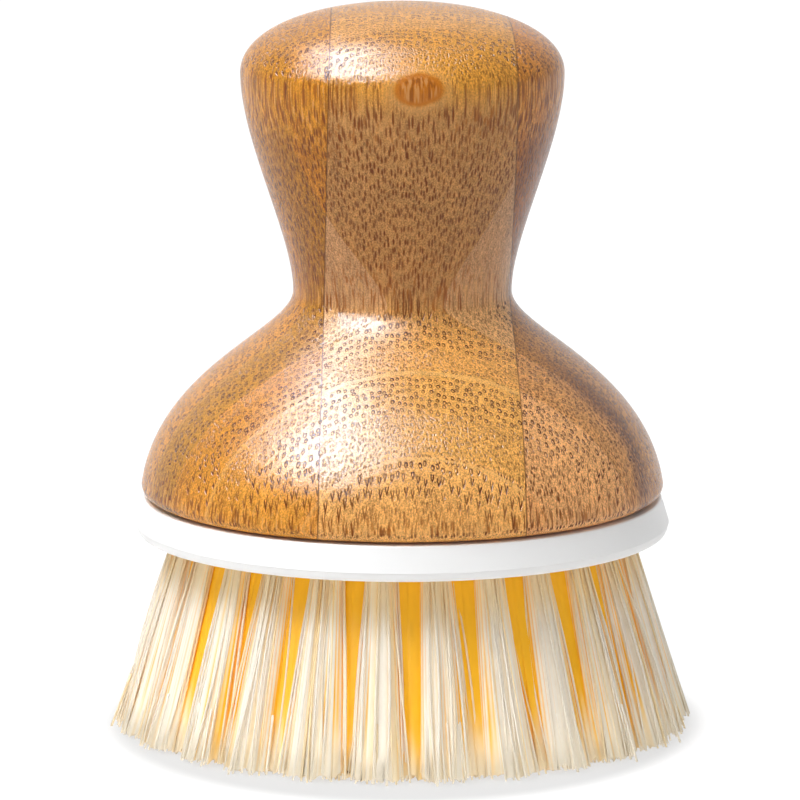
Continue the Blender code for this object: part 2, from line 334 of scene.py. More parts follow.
# The wood's pattern, in millimetres. Most pairs are where a soft step starts and ends. Facing is
# the upward part of the surface's normal, 0 on an upright wall.
bamboo = {
    "stripTurn": math.radians(5),
    "stripEdges": (-38.0, -33.2, -22.5, -15.2, -7.6, 0.0, 7.6, 15.2, 22.7, 30.4, 38.0),  # front to back
    "cup": 0.005,
    "cupFrom": (57.0, 63.0),
    "knobMiddle": 94.4,
    "knobLean": 0.19,
    "knobOut": 0.19,
    "knobTurn": 0.077,
    "knobFrom": (84.0, 92.0),

    # Waver of the columns: how far, and the slow one's shift
    "slowWaver": ((0.9, 0.9, 0), (-0.6, -0.6, 0)),
    "quickWaver": (0.22, 0.22, 0),

    # Each noise's bumps in a millimetre along X, Y and Z, and its detail
    "noises": {
        "slow": ((0.09, 0.09, 0.03), 2.0),
        "quick": ((0.9, 0.9, 0.30), 1.0),
        "streaks": ((0.55, 0.55, 0.02), 3.0),
        "threads": ((4.2, 4.2, 0.30), 2.0),
        "speckle": ((5.2, 5.2, 3.6), 2.0),
        "clouds": ((0.07, 0.07, 0.05), 2.0),
        "veins": ((2.6, 2.6, 0.16), 1.5),
    },
    "grain": {"streaks": 0.60, "threads": 0.90, "clouds": 0.40},
    "speckle": (2.60, 1.60),  # on a slope and on an upright wall

    # Facings between which a wall counts as upright, a slope shows rings in place of arrowheads,
    # darkens its dots, shows dashes, or turns under at the rim, where the wood is plain
    "uprightFacing": (0.36, 0.12),
    "ringFacing": (0.38, 0.56),
    "darkFacing": (0.16, 0.50),
    "dashFacing": (-0.03, -0.14),
    "plainFacing": (-0.75, -0.35),

    # Fibre bundles
    "cells": ((0.92, 0.6), (0.54, 0.8)),  # pitch and scatter of coarse and of fine ones
    "armSpread": (0.50, 0.13),  # sideways for each millimetre back, and at the heart
    "lineWidth": (0.11, 0.05),
    "ringRadius": 0.20,
    # Painted shade crescent of a pore: its ring is thinner at the front and left, where light falls in
    "paintedCrescentThinning": 0.05,  # how much thinner a ring is at its front
    "paintedCrescentSide": (-0.12, 0.14),
    "paintedCrescentSlant": 0.6,
    "ringFirmness": 0.85,
    "coarseReach": (0.40, 0.29),
    "fineReach": (0.36, 0.16),
    "coarseRange": (0.85, 0.15),  # share of coarse bundles: its rise and its least
    "dashCoarseLoss": 0.9,
    "dashFineGain": 0.3,
    "innerStrips": (15.5, 14.9),
    "dotRange": (0.40, 0.68),  # darkness of a bundle: its spread and its least
    "poreDepth": 0.08 * mm,

    # Smooth back edge of each strip, below the neck only
    "seamDepth": (0.92, 0.96),
    "seamHeight": (60.0, 54.0),
    "seamCalm": 0.8,
    "darkVein": (0.54, 0.64),
    "paleVein": (0.44, 0.34),

    # Brown band through one strip of the right block, which turns forwards at the rim
    "bandAt": -11.65,
    "bandWidth": (5.2, 0.4),
    "bandBend": 31.0,
    "bandStart": (17.0, 27.0),
    "bandStreaks": (0.66, 0.38),
    "bandRange": (0.6, 0.4),

    # Oval mark on the knob's front: limits are shares of its half size, x, depth and height
    "markAt": (2.3, -22.6, 94.2),
    "markHalf": (3.55, 20.0, 2.35),
    "markWaver": 0.30,
    "markEdge": (1.08, 0.84),
    "markHeart": (0.84, 0.62),
    "markHalo": (1.75, 1.1),
    "markCalm": 0.85,
    "markClear": (1.6, 3.2),  # from where the wall's veins start again
    "paleHeart": (0.50, 0.40),
    "darkHeart": (0.50, 0.60),

    # Tones over the strips' own, in order, each with its strength
    "crownStrength": 0.75,
    # The painted shade on the waist fades in between these heights and out where the crown starts
    "paintedWaistFrom": (56.0, 66.0),
    "layers": {
        "seam": (0.40, (238, 184, 108)),
        "paleVein": (0.45, (228, 168, 96)),
        "darkVein": (0.80, (150, 80, 8)),
        "halo": (0.30, (214, 158, 96)),
        "oval": (0.85, (180, 100, 8)),
        "paleHeart": (1.0, (194, 132, 68)),
        "darkHeart": (1.0, (146, 80, 14)),
        "band": (1.0, (92, 42, 16)),
    },
    "dotTones": ((120, 58, 2), (86, 38, 2)),  # on a wall and on a slope
    "glueLine": (0.16, 0.05),
    "glueStrength": 0.6,
    "glueTone": (105, 62, 26),

    # Lacquer: how much the speckle adds to the roughness, and the least, and its relief
    "roughness": (0.18, 0.09),
    "specular": 0.27,
    "speckleRelief": 0.8,
}

# What differs from block to block: the strips' tones from the front backwards, the crown's tone
# and where it starts, the painted shade on the waist, where in a strip the bundles turn from fine
# to coarse, and the shares of dashes, of fine dots and of those lost in the middle strips, of seam
# and of band
bambooBlocks = {
    "left": {
        "strips": [(210, 140, 54), (209, 141, 49), (201, 133, 43), (184, 127, 44), (200, 135, 52)],
        "crown": (194, 126, 24), "crownFrom": (84.0, 90.0), "paintedWaistShade": (228, 217, 170),
        "coarseFrom": (0.95, 0.50), "dash": 0.9, "fine": 0.80, "fineLoss": 0.0,
        "seam": 0.6, "band": 0.0,
    },
    "centre": {
        "strips": [(224, 162, 88), (220, 159, 80), (220, 157, 80), (232, 174, 108), (208, 146, 74)],
        "crown": (196, 132, 34), "crownFrom": (89.0, 95.0), "paintedWaistShade": (202, 200, 214),
        "coarseFrom": (0.20, 0.60), "dash": 1.0, "fine": 0.70, "fineLoss": 0.75,
        "seam": 1.0, "band": 0.0,
    },
    "right": {
        "strips": [(214, 150, 90), (222, 161, 101), (208, 146, 82), (186, 124, 54), (190, 128, 66)],
        "crown": (192, 118, 20), "crownFrom": (84.0, 90.0), "paintedWaistShade": (194, 165, 90),
        "coarseFrom": (0.10, 0.60), "dash": 1.0, "fine": 1.0, "fineLoss": 0.0,
        "seam": 0.0, "band": 0.95,
    },
}


# Place across the glued strips: distance from the handle's axis, square to the glue faces. The
# strips cup a little above the neck; in the knob they lean, turn a little more and lie farther out.
def acrossStrips(bent):
    turned = addAfter("VectorRotate", {"rotation_type": "Z_AXIS"}, Vector=bent, Angle=-bamboo["stripTurn"])
    x, y, z = components(turned.outputs[0])
    cup = times(x, x, step(z, *bamboo["cupFrom"]), bamboo["cup"])
    lean = scaled(minus(z, bamboo["knobMiddle"]), bamboo["knobLean"], -bamboo["knobOut"])
    lean = times(scaled(x, bamboo["knobTurn"], lean), step(z, *bamboo["knobFrom"]))
    return minus(minus(y, cup), lean)


# A ramp over the strips: each takes the next pair of tones, from its front face to its back
def stripRamp(across, pairs, interpolation):
    edges = bamboo["stripEdges"]
    far = edges[-1]
    ramp = addAfter("ValToRGB", Fac=scaled(across, 0.5 / far, 0.5))
    ramp.color_ramp.interpolation = interpolation
    stops = ramp.color_ramp.elements
    wanted = []
    for index, (front, back) in enumerate(zip(edges, edges[1:])):
        first, last = pairs[index % len(pairs)]
        wanted.append((front + 0.001, first))
        if interpolation != "CONSTANT":
            wanted.append((back, last))
    for index, (place, colour) in enumerate(wanted):
        stop = stops[index] if index < len(stops) else stops.new(1.0)
        stop.position = 0.5 + 0.5 * place / far
        stop.color = colour
    return ramp.outputs[0]


# What the parts of the pattern read. A slow waver bends strips and columns, and a quick one the
# columns alone, so that they aren't ruled lines. Depth runs from 0 at a strip's front face to 1 at
# its back.
def woodPlaces(tree):
    noises = {name: noise(tree, *values) for name, values in bamboo["noises"].items()}
    wood = {name: made.outputs[0] for name, made in noises.items()}
    wood["place"] = millimetres(tree)
    wood["height"] = components(wood["place"])[2]
    wood["facing"] = components(addNode(tree, "NewGeometry").outputs["Normal"])[2]
    wood["level"] = apart(wood["facing"])
    wood["upright"] = step(wood["level"], *bamboo["uprightFacing"])

    slow = vectorMaths("MULTIPLY_ADD", noises["slow"].outputs["Color"], *bamboo["slowWaver"])
    wood["bent"] = vectorMaths("ADD", wood["place"], slow)
    quick = noises["quick"].outputs["Color"]
    wood["column"] = vectorMaths("MULTIPLY_ADD", quick, bamboo["quickWaver"], wood["bent"])

    wood["across"] = acrossStrips(wood["bent"])
    wood["depth"] = components(stripRamp(wood["across"], [((0, 0, 0, 1), (1, 1, 1, 1))], "LINEAR"))[0]
    return wood


# Grain, 1 on average: long soft streaks along the fibre, fine threads, wide clouds and a speckle
# that is weaker on upright walls
def woodGrain(wood):
    grain = 1.0
    for name, weight in bamboo["grain"].items():
        grain = plus(grain, scaled(wood[name], weight, -weight / 2))
    slope, wall = bamboo["speckle"]
    return plus(grain, times(minus(wood["speckle"], 0.5), scaled(wood["upright"], wall - slope, slope)))


# How dark the coarse bundles are: along two arms that spread backwards from the bundle's heart, or,
# where the surface is flatter, along a ring round it, which is thinner at its front and left: a
# painted shade crescent, dark at the back and right, for light falling into the pore
def coarseBundles(wood, coarse):
    fromHeart = vectorMaths("SUBTRACT", wood["column"], coarse.outputs["Position"])
    sideways, backwards = components(fromHeart)[:2]
    arm = apart(apart(sideways), scaled(backwards, *bamboo["armSpread"]))
    near = times(coarse.outputs["Distance"], bamboo["cells"][0][0])
    side = step(scaled(sideways, bamboo["paintedCrescentSlant"], backwards), *bamboo["paintedCrescentSide"])
    ring = scaled(side, -bamboo["paintedCrescentThinning"], plus(apart(near, bamboo["ringRadius"]), bamboo["paintedCrescentThinning"]))
    ring = times(ring, bamboo["ringFirmness"])
    line = addAfter("Mix", n0=step(wood["facing"], *bamboo["ringFacing"]), n2=arm, n3=ring).outputs[0]
    return times(step(line, *bamboo["lineWidth"]), step(near, *bamboo["coarseReach"]))


# How dark the fibre bundles are, cells in plan: coarse at one side of a strip, fine at the other.
# Where the knob narrows downwards mostly fine ones show, as dashes. Each has its own darkness.
def woodDots(wood, block):
    plan, place = {"voronoi_dimensions": "2D"}, wood["column"]
    coarse, fine = (addAfter("TexVoronoi", plan, Vector=place, Scale=1 / pitch, Randomness=scatter)
                    for pitch, scatter in bamboo["cells"])
    dash = times(step(wood["facing"], *bamboo["dashFacing"]), block["dash"])
    share = scaled(step(wood["depth"], *block["coarseFrom"]), *bamboo["coarseRange"])
    share = times(share, scaled(dash, -bamboo["dashCoarseLoss"], 1.0))
    inner = times(step(apart(wood["across"]), *bamboo["innerStrips"]), dash)
    fineDot = times(step(fine.outputs["Distance"], *bamboo["fineReach"]), minus(1.0, share),
                    scaled(dash, bamboo["dashFineGain"], block["fine"]),
                    scaled(inner, -block["fineLoss"], 1.0))
    own = scaled(components(coarse.outputs["Color"])[0], *bamboo["dotRange"])
    dots = plus(times(coarseBundles(wood, coarse), share), fineDot)
    return times(dots, own, step(wood["facing"], *bamboo["plainFacing"]))


# Shares of the pattern's other parts: the seam at each strip's back, the brown band, the oval mark
# with its streaked heart and calm halo, and the veins of upright walls, which keep clear of it
def woodMarks(wood, block):
    seam = times(step(wood["depth"], *bamboo["seamDepth"]), block["seam"])
    marks = {"seam": times(seam, step(wood["height"], *bamboo["seamHeight"]))}

    x, y = components(wood["bent"])[:2]
    bend = maths("MAXIMUM", minus(x, bamboo["bandBend"]), 0.0)
    away = apart(plus(y, bend), bamboo["bandAt"])
    streaked = scaled(step(wood["threads"], *bamboo["bandStreaks"]), *bamboo["bandRange"])
    band = times(step(away, *bamboo["bandWidth"]), block["band"])
    marks["band"] = times(band, step(x, *bamboo["bandStart"]), streaked)

    fromMark = vectorMaths("SUBTRACT", wood["place"], bamboo["markAt"])
    fromMark = vectorMaths("DIVIDE", fromMark, bamboo["markHalf"])
    beyond = vectorMaths("LENGTH", fromMark, result="Value")
    wall = times(wood["upright"], step(beyond, *bamboo["markClear"]))
    for name in ("paleVein", "darkVein"):
        marks[name] = times(step(wood["veins"], *bamboo[name]), wall)

    waver = bamboo["markWaver"]
    beyond = plus(beyond, scaled(wood["streaks"], waver, -waver / 2))
    marks["oval"] = step(beyond, *bamboo["markEdge"])
    heart = step(beyond, *bamboo["markHeart"])
    for name in ("paleHeart", "darkHeart"):
        marks[name] = times(heart, step(wood["veins"], *bamboo[name]))
    marks["halo"] = times(step(beyond, *bamboo["markHalo"]), minus(1.0, marks["oval"]))
    return marks


# The wood's colour: the strip's tone times the grain, the block's crown tone, a painted shade on the
# waist, the layers of marks, the dots, and a dark line near each glue plane
def woodTone(wood, block, marks, dots, planes):
    pairs = [(tone, tone) for tone in map(linear, block["strips"])]
    strip = stripRamp(wood["across"], pairs, "CONSTANT")
    crown = times(step(wood["height"], *block["crownFrom"]), bamboo["crownStrength"])
    strip = blend(crown, strip, linear(block["crown"]))
    tone = blend(1.0, strip, woodGrain(wood), "MULTIPLY")
    # Painted shade: the upright waist between neck and knob darkened for the weaker light on its walls
    paintedWaistShade = times(step(wood["height"], *bamboo["paintedWaistFrom"]), step(wood["height"], *block["crownFrom"][::-1]))
    tone = blend(paintedWaistShade, tone, linear(block["paintedWaistShade"]), "MULTIPLY")
    for name, (strength, colour) in bamboo["layers"].items():
        tone = blend(times(marks[name], strength), tone, linear(colour))

    slope = step(wood["level"], *bamboo["darkFacing"])
    tone = blend(dots, tone, blend(slope, *map(linear, bamboo["dotTones"])))
    for point, normal in planes:
        distance = vectorMaths("DOT_PRODUCT", wood["place"], normal, result="Value")
        away = apart(distance, normal.dot(point) / mm)
        line = times(step(away, *bamboo["glueLine"]), bamboo["glueStrength"])
        tone = blend(line, tone, linear(bamboo["glueTone"]))
    return tone


# Lacquered bamboo. Fibre bundles are upright columns with a V-shaped section, so a slope shows
# arrowheads and a steep wall shows streaks. The dots are sunk into the surface as pores.
def bambooMaterial(name, planes):
    block = bambooBlocks[name]
    material, tree, shader = newMaterial("bamboo_" + name)
    wood = woodPlaces(tree)
    marks = woodMarks(wood, block)
    calm = scaled(marks["halo"], bamboo["markCalm"], marks["oval"])
    dots = times(woodDots(wood, block), scaled(marks["seam"], -bamboo["seamCalm"], 1.0), minus(1.0, calm))
    relief = scaled(dots, -1.0, times(wood["speckle"], bamboo["speckleRelief"]))
    bump = addAfter("Bump", Strength=1.0, Distance=bamboo["poreDepth"], Height=relief)
    fillInputs(shader, Base_Color=woodTone(wood, block, marks, dots, planes),
               Roughness=scaled(wood["speckle"], *bamboo["roughness"]),
               Specular_IOR_Level=bamboo["specular"], Normal=bump.outputs[0])
    return material


# Each block is the whole handle cut half a glue gap away from its planes, on its own side of them
def makeHandle():
    whole = turnedSolid("handleWhole", handleProfile(), handle["sides"])
    left, right = gluePlanes()
    gap = handle["glueHalfGap"]
    blocks = {"left": [(left, -1)], "centre": [(left, 1), (right, 1)], "right": [(right, -1)]}
    for name, sides in blocks.items():
        cuts = [(point - sign * normal * gap, sign * normal) for (point, normal), sign in sides]
        mesh = cutBlock(name + "BambooBlock", whole, cuts)
        material = bambooMaterial(name, [plane for plane, sign in sides])
        addPiece(mesh.name, mesh, material, "bamboo_" + name, f"handle_{name}_block")
    bpy.data.meshes.remove(whole)


makeHandle()
print("handle turned and cut into its blocks")


# Head plate

plateLow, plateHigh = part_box("head_plate")
plate = {
    "low": plateLow.z,
    "radius": plateHigh.x,
    "studTop": plateHigh.z,
    "seatGap": 0.3 * mm,
    "flare": 1.05 * mm,
    "kneeShare": 0.55,  # of the wall's flare and height, where it bends
    "topRound": 0.35 * mm,
    "topArc": (90, 5),
    "topSteps": 6,
    "lipHeight": 1.15 * mm,
    "lipStep": 0.10 * mm,
    "lipTuck": 0.62 * mm,
    "lipPull": (0.35 * mm, 0.5 * mm),
    "lipSteps": 8,
    "sharpAngle": 28,
    "sides": 240,
    "studCore": 5.1 * mm,
    "studSunk": 0.6 * mm,
    "threadDepth": 0.9 * mm,
    "threadPitch": 3.5 * mm,
    "threadSides": 48,
    "threadRings": 16,
    "holeRadius": 2.3 * mm,
    "holeDepth": 3.6 * mm,
    "holeStart": 0.8 * mm,
    "holeSides": 24,
    "tones": ((242, 242, 241), (237, 237, 238)),
    "toneShare": 0.5,
    "flowBumps": (0.05, 0.05, 0.2),
    "peelBumps": (1.6, 1.6, 1.6),
    "peelDepth": 0.03 * mm,
    "peelStrength": 0.12,
    "roughness": (0.12, 0.28),
}

endDepth = 0.05 * mm  # how near the top or the tips of a tuft's solid a point counts


# Root centre, tip centre and top of every tuft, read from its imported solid
def tuftPlaces():
    places = {}
    for name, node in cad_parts.items():
        if "tuft" not in name:
            continue
        points = np.empty(len(node.data.vertices) * 3, np.float32)
        node.data.vertices.foreach_get("co", points)
        points = points.reshape(-1, 3)
        high = points[points[:, 2] > points[:, 2].max() - endDepth].mean(0)
        low = points[points[:, 2] < endDepth].mean(0)
        share = (plate["low"] - low[2]) / (high[2] - low[2])
        places[name] = (low + (high - low) * share, low, high)
    return places


# Outline of the plate: flat top, rounded edge, flared wall, a fine step and a rounded lip
def plateProfile():
    top = handle["underside"] - plate["seatGap"]
    widest = plate["radius"]
    rim = widest - plate["flare"]
    lip = plate["low"] + plate["lipHeight"]
    edge = rim - plate["topRound"]
    lipIn, lipDown = plate["lipPull"]
    lipEdge, lipFoot = (widest - plate["lipStep"], lip), (widest - plate["lipTuck"], plate["low"])
    return np.vstack([
        [(0.0, top), (rim / 2, top), (edge, top)],
        arc((edge, top - plate["topRound"]), plate["topRound"], *plate["topArc"], plate["topSteps"]),
        [(rim + plate["flare"] * plate["kneeShare"], top - (top - lip) * plate["kneeShare"])],
        [(widest, lip + plate["lipStep"]), lipEdge],
        curve(lipEdge, (0, -lipDown), (lipIn, 0), lipFoot, plate["lipSteps"]),
        [(rim / 2, plate["low"]), (0.0, plate["low"])],
    ])


# Threaded stud: radius is the core plus a triangular ridge that climbs one pitch each turn
def studMesh():
    sides, pitch = plate["threadSides"], plate["threadPitch"]
    low = handle["underside"] - plate["seatGap"] - plate["studSunk"]
    rings = int((plate["studTop"] - low) / pitch * plate["threadRings"]) + 1
    height = np.linspace(low, plate["studTop"], rings)[:, None]
    angle = cornerAngles(sides)[None, :]
    turn = ((height - handle["underside"]) / pitch - angle / fullTurn) % 1.0
    radius = plate["studCore"] + plate["threadDepth"] * (1 - np.abs(2 * turn - 1))
    x, y = radius * np.cos(angle), radius * np.sin(angle)
    wall = np.stack([x, y, np.broadcast_to(height, x.shape)], -1).reshape(-1, 3)
    ends = np.array([(0, 0, low), (0, 0, plate["studTop"])])
    foot = fanFaces(len(wall), 0, sides)[:, ::-1]
    head = fanFaces(len(wall) + 1, (rings - 1) * sides, sides)
    return meshFrom("stud", np.vstack([wall, ends]), ringFaces(rings, sides), foot, head)


# Leaning prisms for the tuft holes: one ring below the face and one at the hole's floor, along the
# line from the tuft's root to its top
def holeMesh(places):
    sides = plate["holeSides"]
    angle = cornerAngles(sides)
    circle = np.stack([np.cos(angle), np.sin(angle), np.zeros(sides)], -1) * plate["holeRadius"]
    points, quads, caps = [], [], []
    for root, tip, top in places.values():
        rise = (top - root) / (top[2] - root[2])
        start = len(points) * sides
        points += [root - rise * plate["holeStart"] + circle, root + rise * plate["holeDepth"] + circle]
        quads.append(ringFaces(2, sides) + start)
        caps += [np.arange(sides)[::-1] + start, np.arange(sides) + start + sides]
    return meshFrom("holes", np.concatenate(points), np.concatenate(quads), np.array(caps))


# White moulded plastic: faint orange-peel surface and very slight shade differences
def plasticMaterial():
    material, tree, shader = newMaterial("plate_white")
    peel = noise(tree, plate["peelBumps"], 3.0).outputs[0]
    flow = noise(tree, plate["flowBumps"], 1.0).outputs[0]
    tone = blend(times(flow, plate["toneShare"]), *map(linear, plate["tones"]))
    bump = addAfter("Bump", Strength=plate["peelStrength"], Distance=plate["peelDepth"], Height=peel)
    fillInputs(shader, Base_Color=tone, Roughness=scaled(peel, *plate["roughness"]), Normal=bump.outputs[0])
    return material


# The turned disc, minus the tuft holes, plus the stud
def makePlate(places):
    spare = [addObject("plateBody", turnedSolid("plateBody", plateProfile(), plate["sides"]))]
    for mesh, operation in ((holeMesh(places), "DIFFERENCE"), (studMesh(), "UNION")):
        closeUp(mesh)
        spare.append(addObject(mesh.name, mesh))
        cut = spare[0].modifiers.new(mesh.name, "BOOLEAN")
        cut.object = spare[-1]
        cut.operation = operation
    finished = spare[0].evaluated_get(bpy.context.evaluated_depsgraph_get())
    mesh = bpy.data.meshes.new_from_object(finished)
    for made in spare:
        bpy.data.objects.remove(made)
    mesh.name = "headPlateMoulding"
    softEdges(mesh, plate["sharpAngle"])
    addPiece(mesh.name, mesh, plasticMaterial(), "plate_white", "head_plate")


tuftEnds = tuftPlaces()
makePlate(tuftEnds)
print("head plate moulded, with", len(tuftEnds), "holes")


# Threaded insert

insert = {
    "latheBumps": (0.4, 0.4, 14),
    "tones": ((214, 178, 104), (190, 150, 78)),
    "roughness": (0.2, 0.22),
}


# Turned brass with fine lathe lines
def brassMaterial():
    material, tree, shader = newMaterial("insert_brass")
    lines = noise(tree, insert["latheBumps"], 2.0).outputs[0]
    fillInputs(shader, Base_Color=blend(lines, *map(linear, insert["tones"])), Metallic=1.0,
               Roughness=scaled(lines, *insert["roughness"]))
    return material


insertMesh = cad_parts["threaded_insert"].data
insertMesh.materials.clear()
insertMesh.materials.append(brassMaterial())
print("insert finished in brass")


# Bristles

tuft = {
    "seed": 26,
    "rootRadius": 2.2 * mm,
    "tipRadius": 4.05 * mm,
    "sunk": 1.8 * mm,
    "raggedTip": 0.45 * mm,

    # How far each ring of tufts fans out round the brush, as a share of its fan in and out, and
    # how soon below the plate it does so: 1 is evenly all the way, less is sooner
    "sideFan": {"outer": 1.07, "middle": 1.52, "inner": 1.30, "core": 1.05, "centre": 1.0},
    "fanPower": {"outer": 0.9, "middle": 0.38, "inner": 0.6, "core": 0.8, "centre": 0.8},
    "fanSpread": 0.09,
    "leanSpread": 0.45 * mm,

    # Packed filaments. Levels are shares of the way from the plate to the tips.
    "levels": (0.0, 0.06, 0.16, 0.4, 0.62, 0.82, 1.0, 1.0),
    "footShrink": 0.5,
    "ridges": 38,
    "valley": 0.985,
    "ridgeSpread": 0.015,
    "ridgeDrift": 0.5,
    "squareness": (2.8, 7.0),  # of a tuft's section and of the golden ones behind
    "rootFit": 0.97,
    "tipFit": 0.96,
    "recess": 0.9 * mm,
    "recessPole": 1.2,
    "endLift": 0.25 * mm,
    "valleyLift": 0.2 * mm,
    "partings": 5,
    "partingReach": 1.7,
    "partingWidth": 0.11,
    "partingDepth": 0.07,
    "partingGrowth": 1.3,
    # Painted glow: extra amber in the flutes' valleys and in the partings, for light between filaments
    "valleyGlow": 0.30,
    "partingGlow": 0.45,

    # The filaments behind the outer tufts, all of them in the painted amber glow: half depth, half width
    # and setback of their front from the tuft's axis, each at the plate and at the tips
    "backDepth": (1.1 * mm, 1.6 * mm),
    "backWidth": (4.25 * mm, 4.95 * mm),
    "backFront": (0.9 * mm, 1.9 * mm),

    # Loose filaments round a tuft and, from the tip start down, fine tips in it
    "looseCount": 36,
    "looseReach": (0.94, 1.12),
    "tipCount": 44,
    "tipReach": 0.98,
    "tipStart": 0.72,
    "thickness": 0.17 * mm,
    "thicknessRange": (0.8, 1.15),
    "waver": 0.28 * mm,
    "bow": 0.35 * mm,
    "strayShare": 0.10,
    "strayReach": 1.5 * mm,
    "longestStray": 2.6 * mm,
    "farthest": 42.2 * mm,
    "rings": 6,
    "sides": 4,
}


# Packed filaments: a tube whose section is a rounded square, fluted with one flute for each
# filament. It widens from the root to the tips, where each flute ends at its own height, and a
# few partings cut deeper and deeper into it on the way down. Halves and shift hold the section's
# half sizes and its move outwards, each at the plate and at the tips.
def packedFilaments(root, tip, axes, halves, shift, power, square, rng):
    ridges, sides = tuft["ridges"], 2 * tuft["ridges"]
    angle = cornerAngles(sides)
    section = (np.abs(np.cos(angle)) ** square + np.abs(np.sin(angle)) ** square) ** (-1 / square)
    flute = np.repeat(1 + rng.uniform(-1, 1, ridges) * tuft["ridgeSpread"], 2)
    flute[1::2] = tuft["valley"]
    share = np.array(tuft["levels"])[:, None]
    shrink = np.ones_like(share)
    shrink[-1] = tuft["footShrink"]
    reach = tuft["partingReach"]
    places = rng.uniform(-reach, reach, tuft["partings"])
    away = (angle[None, :] - places[:, None] + math.pi) % fullTurn - math.pi
    parting = np.exp(-(away / tuft["partingWidth"]) ** 2).sum(0).clip(0, 1)
    parting = parting * share ** tuft["partingGrowth"]
    opened = share ** power
    outline = section * flute * (1 - tuft["partingDepth"] * parting) * shrink
    drift = np.repeat(rng.normal(0, tuft["ridgeDrift"], ridges), 2) * fullTurn / sides * share
    centre = root[:2] + (tip[:2] - root[:2]) * share[:, :, None]
    centre = centre + (shift[0] + (shift[1] - shift[0]) * share)[:, :, None] * axes[0]
    inOut, along = ((start + (end - start) * opened) * outline for start, end in halves)
    flat = centre + (inOut * np.cos(angle + drift))[:, :, None] * axes[0]
    flat = flat + (along * np.sin(angle + drift))[:, :, None] * axes[1]

    level = root[2] * (1 - share) + np.zeros(sides)
    level[0] += tuft["sunk"]
    ends = np.repeat(np.abs(rng.normal(0, tuft["raggedTip"], ridges)), 2) + tuft["endLift"]
    level[-2] = ends + tuft["valleyLift"] * (np.arange(sides) % 2)
    level[-1] = tuft["recess"]
    wall = np.concatenate([flat, level[:, :, None]], -1).reshape(-1, 3)
    poleHeight = tuft["recess"] * tuft["recessPole"]
    poles = np.array([(*flat[0].mean(0), level[0, 0]), (*flat[-1].mean(0), poleHeight)])
    top = fanFaces(len(wall), 0, sides)
    foot = fanFaces(len(wall) + 1, (len(share) - 1) * sides, sides)[:, ::-1]

    # Each flute's own tone, and how far in a point faces, where the filaments take a painted amber glow
    # for light that has passed through the brush
    tone = np.repeat(rng.random(ridges), 2)
    tone = np.concatenate([np.tile(tone, len(share)), [0.5, 0.5]])
    glowInward = (1 - np.cos(angle)) / 2 + tuft["valleyGlow"] * (np.arange(sides) % 2)
    glowInward = np.concatenate([(glowInward + tuft["partingGlow"] * parting).ravel(), [0.5, 1.0]])
    walls = ringFaces(len(share), sides)[:, ::-1]
    return np.vstack([wall, poles]), walls, np.vstack([top, foot]), tone, glowInward


# Loose filaments: places on a disc at the root go to the same places on a wider oval at the
# tips, plus a bow that is nil at both ends, a waver at the tip and a few strays.
def looseFibres(root, tip, axes, fan, power, rng):
    loose, tips, rings, sides = (tuft[key] for key in ("looseCount", "tipCount", "rings", "sides"))
    count = loose + tips
    outside = np.arange(count) < loose
    edge = rng.uniform(*tuft["looseReach"], count)
    spread = np.where(outside, edge, np.sqrt(rng.random(count)) * tuft["tipReach"])
    angle = rng.uniform(0, fullTurn, count)

    def discPlaces(radius, sideShare):
        inOut, along = radius * spread * np.cos(angle), radius * spread * np.sin(angle) * sideShare
        return inOut[:, None] * axes[0] + along[:, None] * axes[1]

    start = root[:2] + discPlaces(tuft["rootRadius"], 1.0)
    end = tip[:2] + discPlaces(tuft["tipRadius"], fan)
    end += rng.normal(0, tuft["waver"], (count, 2))
    strays = rng.random(count) < tuft["strayShare"]
    reach = rng.normal(0, tuft["strayReach"], (count, 2))
    end += strays[:, None] * np.clip(reach, -tuft["longestStray"], tuft["longestStray"])
    far = np.linalg.norm(end, axis=1)[:, None]
    end *= np.minimum(1, tuft["farthest"] / np.maximum(far, mm))
    tipHeight = np.abs(rng.normal(0, tuft["raggedTip"], count))
    bow = rng.normal(0, tuft["bow"], (count, 2)) * outside[:, None]

    share = np.where(outside, -tuft["sunk"] / root[2], tuft["tipStart"])[:, None]
    share = (share + (1 - share) * np.linspace(0, 1, rings))[:, :, None]
    middle = root[:2] + (tip[:2] - root[:2]) * share
    opened = np.clip(share, 0, 1) ** power
    flat = middle + (start - root[:2])[:, None, :] * (1 - opened) + (end - tip[:2])[:, None, :] * opened
    flat = flat + bow[:, None, :] * np.sin(np.clip(share, 0, 1) * math.pi)
    level = root[2] - (root[2] - tipHeight)[:, None, None] * share
    centre = np.concatenate([flat, level], -1)

    # A level ring of corners round each point, turned at random for each filament
    turn = rng.uniform(0, fullTurn, count)[:, None] + cornerAngles(sides)
    thick = tuft["thickness"] * rng.uniform(*tuft["thicknessRange"], count)[:, None]
    ring = np.stack([thick * np.cos(turn), thick * np.sin(turn), np.zeros_like(turn)], -1)
    points = (centre[:, :, None, :] + ring[:, None, :, :]).reshape(-1, 3)
    first = (np.arange(count) * rings * sides)[:, None, None]
    walls = (ringFaces(rings, sides)[None] + first).reshape(-1, 4)
    high = np.arange(sides) + first[:, 0]
    low = high[:, ::-1] + (rings - 1) * sides
    tone = np.repeat(rng.random(count), rings * sides)
    # How far in each loose filament stands round its tuft, for the painted amber glow
    glowInward = np.repeat((1 - np.cos(angle)) / 2, rings * sides)
    return points, np.vstack([walls[:, ::-1], high, low]), np.empty((0, 3), int), tone, glowInward
